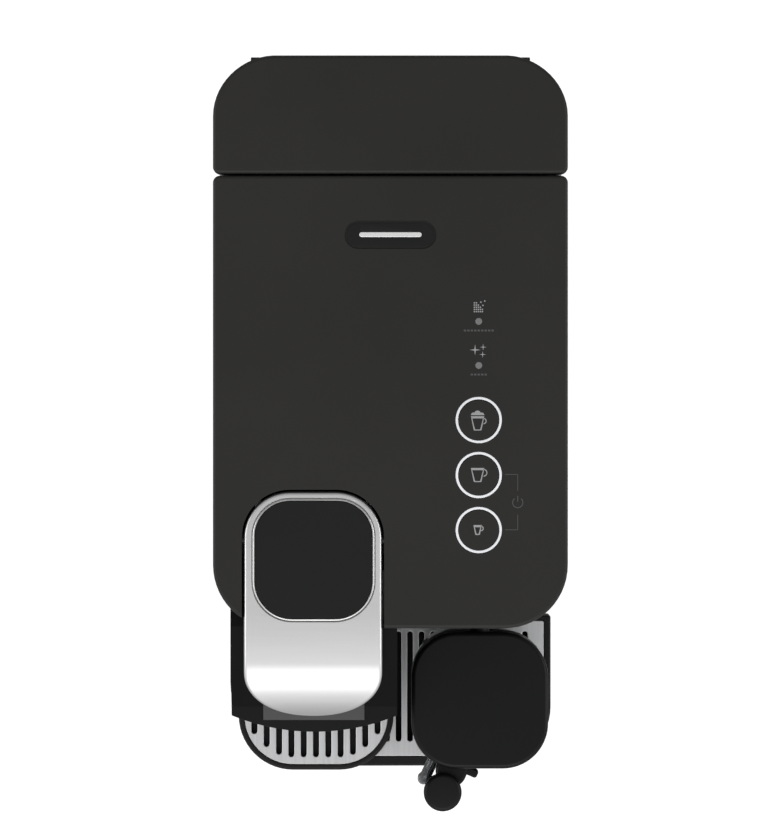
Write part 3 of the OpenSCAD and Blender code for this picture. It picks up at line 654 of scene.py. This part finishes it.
def panel_prints():
    """Marks beside the lights, the power sign and the bracket that ties it to the buttons."""
    cx = middle("indicator_lenses")[0]
    z = PANEL_TOP
    lenses = []
    for y in (51.5 * MM, 32.4 * MM):
        profile = [(1.5 * MM, z - 3 * MM), (1.5 * MM, z), (1.3 * MM, z + 0.06 * MM)]
        lenses.append(turned("lens", cx, y, profile, 32))
    lens = join("indicator_lens", lenses)
    smooth(lens)
    place(lens, "chassis", "white_ring", LED_GREY, "indicator_lenses")
    spots = [(-1.9 + 0.87 * i, -2.1 + 0.95 * j) for i in range(5) for j in range(5) if i + j < 6]
    spots += [(0.9, 2.0), (2.6, 2.5), (1.8, 0.6)]
    dots = [(bar_outline(cx + dx * MM, 57.8 * MM + dy * MM, 0.58 * MM, 0.58 * MM), []) for dx, dy in spots]
    flat_print("scale_print", dots, z, "chassis", PRINT_GREY)
    for name, y, count in (("scale_label", 47.5 * MM, 9), ("clean_label", 28.4 * MM, 5)):
        dashes = [(bar_outline(cx + (i - (count - 1) / 2) * 1.5 * MM, y, 1.0 * MM, 0.8 * MM), [])
                  for i in range(count)]
        flat_print(name, dashes, z, "chassis", PRINT_DIM)
    stars = []
    for dx, dy, size in ((-1.6, 0.4, 2.4), (1.9, 1.6, 1.5), (1.7, -1.6, 1.5)):
        star = []
        for i in range(8):
            r = size * (1.0 if i % 2 == 0 else 0.18) * MM
            a = math.pi / 4 * i
            star.append((cx + dx * MM + r * math.cos(a), 38.7 * MM + dy * MM + r * math.sin(a)))
        stars.append((star, []))
    flat_print("clean_print", stars, z, "chassis", PRINT_GREY)
    px, py = 55.2 * MM, -27.1 * MM
    r, line = 2.4 * MM, 0.35 * MM
    stem = rounded_rect(px - line / 2, px + line / 2, py + 0.4 * MM, py + 2.9 * MM, 0.1 * MM, 0.1 * MM, 2)
    sign = [(arc(px, py, r, 130, 410, 28) + arc(px, py, r - line, 410, 130, 28), []), (stem, [])]
    flat_print("power_print", sign, z, "chassis", PRINT_DIM)
    thin = 0.25 * MM
    ease = (0.05 * MM, 0.05 * MM, 2)
    bars = []
    for y, reach in ((-14.9 * MM, -7.1 * MM), (-38.9 * MM, 6.6 * MM)):
        bars.append((rounded_rect(BRACKET_X, px + thin / 2, y - thin / 2, y + thin / 2, *ease), []))
        low, high = sorted((y, y + reach))
        bars.append((rounded_rect(px - thin / 2, px + thin / 2, low, high, *ease), []))
    flat_print("bracket_print", bars, z, "chassis", PRINT_DIM)


# ---- Trays and grids ----

def slotted(name, outline, slots, z0, z1, edge, width):
    """A plate with slots; its rims are rounded by edge."""
    piece = solid(name, outline, z0, z1)
    cutters = [solid("cut", stadium(x, low, high, width), z0 - OVER, z1 + OVER) for x, low, high in slots]
    carve(piece, [join("cut", cutters)])
    soften(piece, edge, 2)
    return piece


def trays():
    x0, x1, y0, y1, z0, z1 = span_of("drip_tray")
    outer = rounded_rect(x0, x1, y0, y1, 28 * MM, 1 * MM, left_r=40 * MM)
    outer = bowed(outer, y0, 40 * MM, 47 * MM, 0.4 * MM)
    g = span_of("drip_grid")
    gap = 0.35 * MM
    grid_r = 24.7 * MM
    left_r = 36.7 * MM

    def seat_outline(grow):
        return rounded_rect(g[0] - grow, g[1] + grow, g[2] - grow, g[3] + grow, grid_r + grow, 1 * MM,
                            left_r=left_r + grow)

    tray = solid("tray_shell", outer, z0, z1, 1.0 * MM, 1.2 * MM)
    carve(tray, [solid("cut", seat_outline(-2 * MM), z0 + 2.5 * MM, SKY),
                 solid("cut", seat_outline(gap), g[4] - 0.1 * MM, SKY)])
    soften(tray, 0.3 * MM, 2)
    place(tray, "tray_unit", "black_plastic", MATERIALS["black_plastic"], "drip_tray")
    slots = []
    first, pitch, land = -1.6 * MM, 5.47 * MM, 5 * MM
    for i in range(-13, 14):
        x = first + i * pitch
        corner_r = left_r if x < 0 else grid_r
        side = max(0.0, abs(x) - (g[1] - corner_r))
        if abs(x) < g[1] - land:
            front = g[2] + 7 * MM + corner_r - math.sqrt(corner_r ** 2 - side ** 2)
            slots.append((x, front, g[3] - land))
    grid = slotted("grid_plate", seat_outline(0.0), slots, g[5] - 1.6 * MM, g[5], 0.35 * MM, 2.7 * MM)
    place(grid, "drip_grid", "grid_metal", MATERIALS["grid_metal"], "drip_grid")


def cup_support():
    x0, x1, y0, y1, z0, z1 = span_of("cup_support_rim")
    g = span_of("cup_support_grid")
    rim = solid("support_rim", rounded_rect(x0, x1, y0, y1, 25.4 * MM, 2 * MM), z0, z1, 1.2 * MM, 1.2 * MM)
    gap = 0.1 * MM
    seat = rounded_rect(g[0] - gap, g[1] + gap, g[2] - gap, g[3] + gap, 23 * MM, 2 * MM)
    well = rounded_rect(g[0] + 2 * MM, g[1] - 2 * MM, g[2] + 2 * MM, g[3] - 2 * MM, 21 * MM, 1 * MM)
    ears = span_of("cup_support_pins")
    cutters = [solid("cut", seat, g[4] - 0.05 * MM, SKY), solid("cut", well, z0 + 2 * MM, SKY)]
    ease = 0.2 * MM
    for x in (ears[0] + 4.6 * MM, ears[1] - 8.6 * MM):
        notch = rounded_rect(x - 0.5 * MM, x + 4.5 * MM, -94.5 * MM, -80 * MM, ease, ease, 2)
        cutters.append(solid("cut", notch, 0, SKY))
    carve(rim, cutters)
    soften(rim, 0.3 * MM, 2)
    place(rim, "cup_support", "black_plastic", MATERIALS["black_plastic"], "cup_support_rim")
    mid = (g[0] + g[1]) / 2
    slots = []
    pitch, land = 5.76 * MM, 5 * MM
    for i in range(-5, 6):
        edge = max(0, abs(i) - 2)
        slots.append((mid + i * pitch, g[2] + 3.6 * MM + 1.2 * MM * edge * edge, g[3] - land))
    plate = rounded_rect(g[0], g[1], g[2], g[3], 22.9 * MM, 2 * MM)
    grid = slotted("support_plate", plate, slots, g[5] - 1.4 * MM, g[5], 0.35 * MM, 2.72 * MM)
    place(grid, "cup_support", "grid_metal", MATERIALS["grid_metal"], "cup_support_grid")


# ---- Milk jug ----

JUG = span_of("jug_lid")
JUG_R = 20.5 * MM
PIVOT = middle("spout_pivot_pin")
KNOB = middle("spout_knob")
SPOUT_TURN = math.atan2(PIVOT[0] - KNOB[0], PIVOT[1] - KNOB[1])
SPOUT_REACH = math.hypot(PIVOT[0] - KNOB[0], PIVOT[1] - KNOB[1])
PORT_Z = 152.5 * MM


def jug_outline(depth=0.0):
    return rounded_rect(JUG[0] + depth, JUG[1] - depth, JUG[2] + depth, JUG[3] - depth, JUG_R - depth,
                        JUG_R - depth, 18)


def milk_jug():
    z0, z1 = JUG[4], JUG[5]
    slot_low, slot_high = z0 + 11 * MM, z1 - 7.5 * MM
    lid = solid("lid_shell", jug_outline(), z0, z1, 2.0 * MM, 0.8 * MM)
    slot_rear = -106 * MM
    slot = rounded_rect(JUG[0] - OVER, JUG[1] + OVER, JUG[2] - OVER, slot_rear, 1 * MM, 6 * MM)
    swing = solid("cut", slot, slot_low, slot_high)
    skirt = solid("cut", jug_outline(3.2 * MM), z0 - OVER, z0 + 7.5 * MM)
    carve(lid, [swing, skirt])
    port = turned("cut", 0, 0, [(4.58 * MM, 0), (4.58 * MM, 30 * MM)])
    port.rotation_euler = (math.radians(-90), 0, 0)
    port.location = (PIVOT[0], -98 * MM, PORT_Z)
    bpy.context.view_layer.update()
    carve(lid, [port])
    soften(lid, 0.6 * MM, 3)
    place(lid, "milk_jug", "lid_black", MATERIALS["lid_black"], "jug_lid")

    b = span_of("milk_container")
    neck, wall = 1.7 * MM, 2.4 * MM
    outside = round_over(b[4], 4 * MM, -1)
    outside += [(z0 - 1.2 * MM, 0), (z0 - 0.3 * MM, neck), (b[5] - 0.5 * MM, neck), (b[5], neck + 0.5 * MM)]
    hollow = round_over(b[4] + 2.5 * MM, 3 * MM, -1)
    hollow += [(z0 - 8 * MM, 0), (z0 - 6 * MM, 1.3 * MM), (b[5] + OVER, 1.3 * MM)]
    jar = stacked("jar", jug_outline(2 * MM), outside)
    carve(jar, [stacked("cut", jug_outline(2 * MM + wall), hollow)])
    smooth(jar)
    place(jar, "milk_container", "clear_plastic", MATERIALS["clear_plastic"], "milk_container")
    spout()


def at_spout(piece):
    """Turns a piece made straight ahead of the pivot to the spout's rest angle."""
    c, s = math.cos(-SPOUT_TURN), math.sin(-SPOUT_TURN)
    for v in piece.data.vertices:
        x, y = v.co.x, v.co.y
        v.co.x = PIVOT[0] + c * x - s * y
        v.co.y = PIVOT[1] + s * x + c * y
    return piece


def tube(name, points, radius, inner=0.0, sides=28):
    """A round tube along a list of points, with its corners rounded and its ends open when hollow."""
    curve = bpy.data.curves.new(name, "CURVE")
    curve.dimensions = "3D"
    spline = curve.splines.new("BEZIER")
    spline.bezier_points.add(len(points) - 1)
    for point, co in zip(spline.bezier_points, points):
        point.co = co
        point.handle_left_type = point.handle_right_type = "AUTO"
    curve.bevel_depth = radius
    curve.bevel_resolution = sides // 4
    curve.resolution_u = 10
    curve.use_fill_caps = True
    shape = bpy.data.objects.new(name, curve)
    SCENE.collection.objects.link(shape)
    graph = bpy.context.evaluated_depsgraph_get()
    mesh = bpy.data.meshes.new_from_object(shape.evaluated_get(graph))
    bpy.data.objects.remove(shape)
    piece = bpy.data.objects.new(name, mesh)
    SCENE.collection.objects.link(piece)
    if inner:
        carve(piece, [tube("cut", points, inner, sides=sides)])
    return piece


def spout():
    a = span_of("spout_arm")
    z0, z1 = a[4] + 6.4 * MM, a[5]
    reach = SPOUT_REACH
    half = 7 * MM
    outline = rounded_rect(-half, half, -reach + 3 * MM, 2 * MM, 6.5 * MM, 6.9 * MM)
    arm = solid("spout_body", outline, z0, z1 - 0.2 * MM, 1.5 * MM, 1.5 * MM)
    big, nose_r, ease = 9 * MM, 7.4 * MM, 0.8 * MM
    hub = turned("hub", 0, 0, [(big - ease, z0), (big, z0 + ease), (big, z1 - ease), (big - ease, z1)])
    nose = turned("nose", 0, -reach, [(nose_r - 0.4 * MM, z0 - 6 * MM), (nose_r, z0 - 5 * MM),
                                      (nose_r, z1 - 0.5 * MM)])
    finger = rounded_rect(3 * MM, 11.5 * MM, -30.4 * MM, -26.6 * MM, 1.2 * MM, 1.2 * MM, 5)
    tab = solid("tab", finger, z0 + 1 * MM, z1 - 1.2 * MM, ease, ease)
    unite(arm, [hub, nose, tab])
    carve(arm, [turned("cut", 0, 0, [(3.05 * MM, 0.1), (3.05 * MM, 0.2)], 48)])
    at_spout(arm)
    soften(arm, 0.4 * MM, 2, math.radians(50))
    place(arm, "milk_spout", "lid_black", MATERIALS["lid_black"], "spout_arm")

    k = span_of("spout_knob")
    r = (k[1] - k[0]) / 2
    cx, cy = KNOB
    knob = turned("knob_cap", cx, cy, [
        (r - 0.9 * MM, k[4]), (r - 0.9 * MM, k[4] + 0.8 * MM), (r, k[4] + 1.2 * MM), (r, k[5] - 1.9 * MM),
        (r - 0.25 * MM, k[5] - 0.95 * MM), (r - 0.9 * MM, k[5] - 0.3 * MM), (r - 1.8 * MM, k[5]),
        (0.5 * MM, k[5])])
    smooth(knob)
    place(knob, "milk_spout", "lid_black", MATERIALS["lid_black"], "spout_knob")

    side_x = -9.6 * MM
    route = [(-16 * MM, PORT_Z), (-30 * MM, PORT_Z), (-38.6 * MM, 149 * MM), (-41 * MM, 140 * MM),
             (-41 * MM, 128 * MM)]
    pipe = tube("clear_pipe", [(side_x, y, z) for y, z in route], 2.6 * MM, 1.7 * MM)
    r, bore, low, high = 5 * MM, 3.2 * MM, 122 * MM, z0 - 6.2 * MM
    nozzle = turned("nozzle", 0, -reach, [(r - 0.8 * MM, low), (r, low + 2 * MM), (r, high), (bore, high),
                                          (bore, low)])
    outlet = join("milk_pipe", [pipe, nozzle])
    at_spout(outlet)
    smooth(outlet)
    place(outlet, "milk_spout", "clear_plastic", PIPE_SMOKE, "milk_outlet")


# ---- Carried-over CAD parts, floor, light and camera ----

EDGE_ROUND = {"base": 1.2, "water_tank": 0.8, "capsule_container": 0.6, "coffee_outlet": 0.8,
              "head_housing": 0.9, "left_side_panel": 0.4, "right_side_panel": 0.4, "front_wall": 0.5,
              "thermoblock": 1.0, "capsule_cage": 0.6, "brew_frame": 0.3, "lever_cams": 0.3,
              "steam_connector": 0.3}
SLOTS = {row["node"]: row["material_slot"] for row in frame["record"]["subparts"]}


def cad_parts():
    for node, piece in frame["nodes"].items():
        piece.data.materials.clear()
        piece.data.materials.append(MATERIALS["dark_steel" if node == "lever_shaft" else SLOTS[node]])
        weld = piece.modifiers.new("weld", "WELD")
        weld.merge_threshold = 0.00001
        flat = piece.modifiers.new("flat", "DECIMATE")
        flat.decimate_type = "DISSOLVE"
        flat.angle_limit = math.radians(0.4)
        soften(piece, EDGE_ROUND.get(node, 0.25) * MM, 2)


def panel_light(name, place_at, aim, size, power):
    lamp = bpy.data.lights.new(name, "AREA")
    lamp.shape = "RECTANGLE"
    lamp.size, lamp.size_y = size
    lamp.energy = power
    piece = bpy.data.objects.new(name, lamp)
    piece.location = place_at
    piece.rotation_euler = (Vector(aim) - Vector(place_at)).to_track_quat("-Z", "Y").to_euler()
    SCENE.collection.objects.link(piece)


def studio_air():
    """Even light all round: dimmer towards the rear wall, brighter towards the front."""
    world = bpy.data.worlds.new("studio_air")
    world.use_nodes = True
    nodes, links = world.node_tree.nodes, world.node_tree.links
    parts = nodes.new("ShaderNodeSeparateXYZ")
    links.new(nodes.new("ShaderNodeTexCoord").outputs["Generated"], parts.inputs["Vector"])
    fall = nodes.new("ShaderNodeMapRange")
    fall.interpolation_type = "SMOOTHSTEP"
    fall.inputs["From Min"].default_value = -0.45
    fall.inputs["From Max"].default_value = 0.45
    fall.inputs["To Min"].default_value = 0.98
    fall.inputs["To Max"].default_value = 0.42
    links.new(parts.outputs["Y"], fall.inputs["Value"])
    air = nodes["Background"]
    air.inputs["Color"].default_value = (0.99, 0.995, 1.0, 1)
    links.new(fall.outputs["Result"], air.inputs["Strength"])
    return world


def studio():
    floor = solid("floor", rounded_rect(-3, 3, -3, 3, 0.2, 0.2), -0.02, 0.0)
    s = Shader("floor_paint")
    s.set(Specular_IOR_Level=0.1, Emission_Color=(1, 1, 1, 1))
    lit = s.nodes.new("ShaderNodeLightPath").outputs["Is Camera Ray"]
    s.link(s.span(lit, 0.0, 0.75), "Emission Strength")
    s.link(s.ramp(s.noise(2.0), (0.48, 0.48, 0.48), (0.50, 0.50, 0.50)), "Base Color")
    s.link(s.span(s.noise(60.0), 0.7, 0.8), "Roughness")
    floor.data.materials.append(s.material)
    SCENE.world = studio_air()
    panel_light("front_softbox", (0.0, -1.75, 2.1), (0, 0, 0.2), (1.8, 1.7), 15)
    panel_light("left_softbox", (-2.4, 0.2, 1.3), (0, 0, 0.1), (1.6, 1.2), 16)
    panel_light("right_softbox", (2.4, 0.2, 1.3), (0, 0, 0.1), (1.6, 1.2), 16)
    SCENE.view_settings.view_transform = "Standard"


def camera():
    """Straight down on the machine from 2.25 m above its top."""
    lens = bpy.data.cameras.new("camera")
    lens.sensor_width = 36
    lens.lens = 223.6
    lens.clip_end = 20
    piece = bpy.data.objects.new("camera", lens)
    piece.location = (0.00025, 0.010, PANEL_TOP + 2.246)
    SCENE.collection.objects.link(piece)
    SCENE.camera = piece


camera()
cad_parts()
top_panel()
badge()
tank_lid()
lever()
controls()
trays()
cup_support()
milk_jug()
studio()
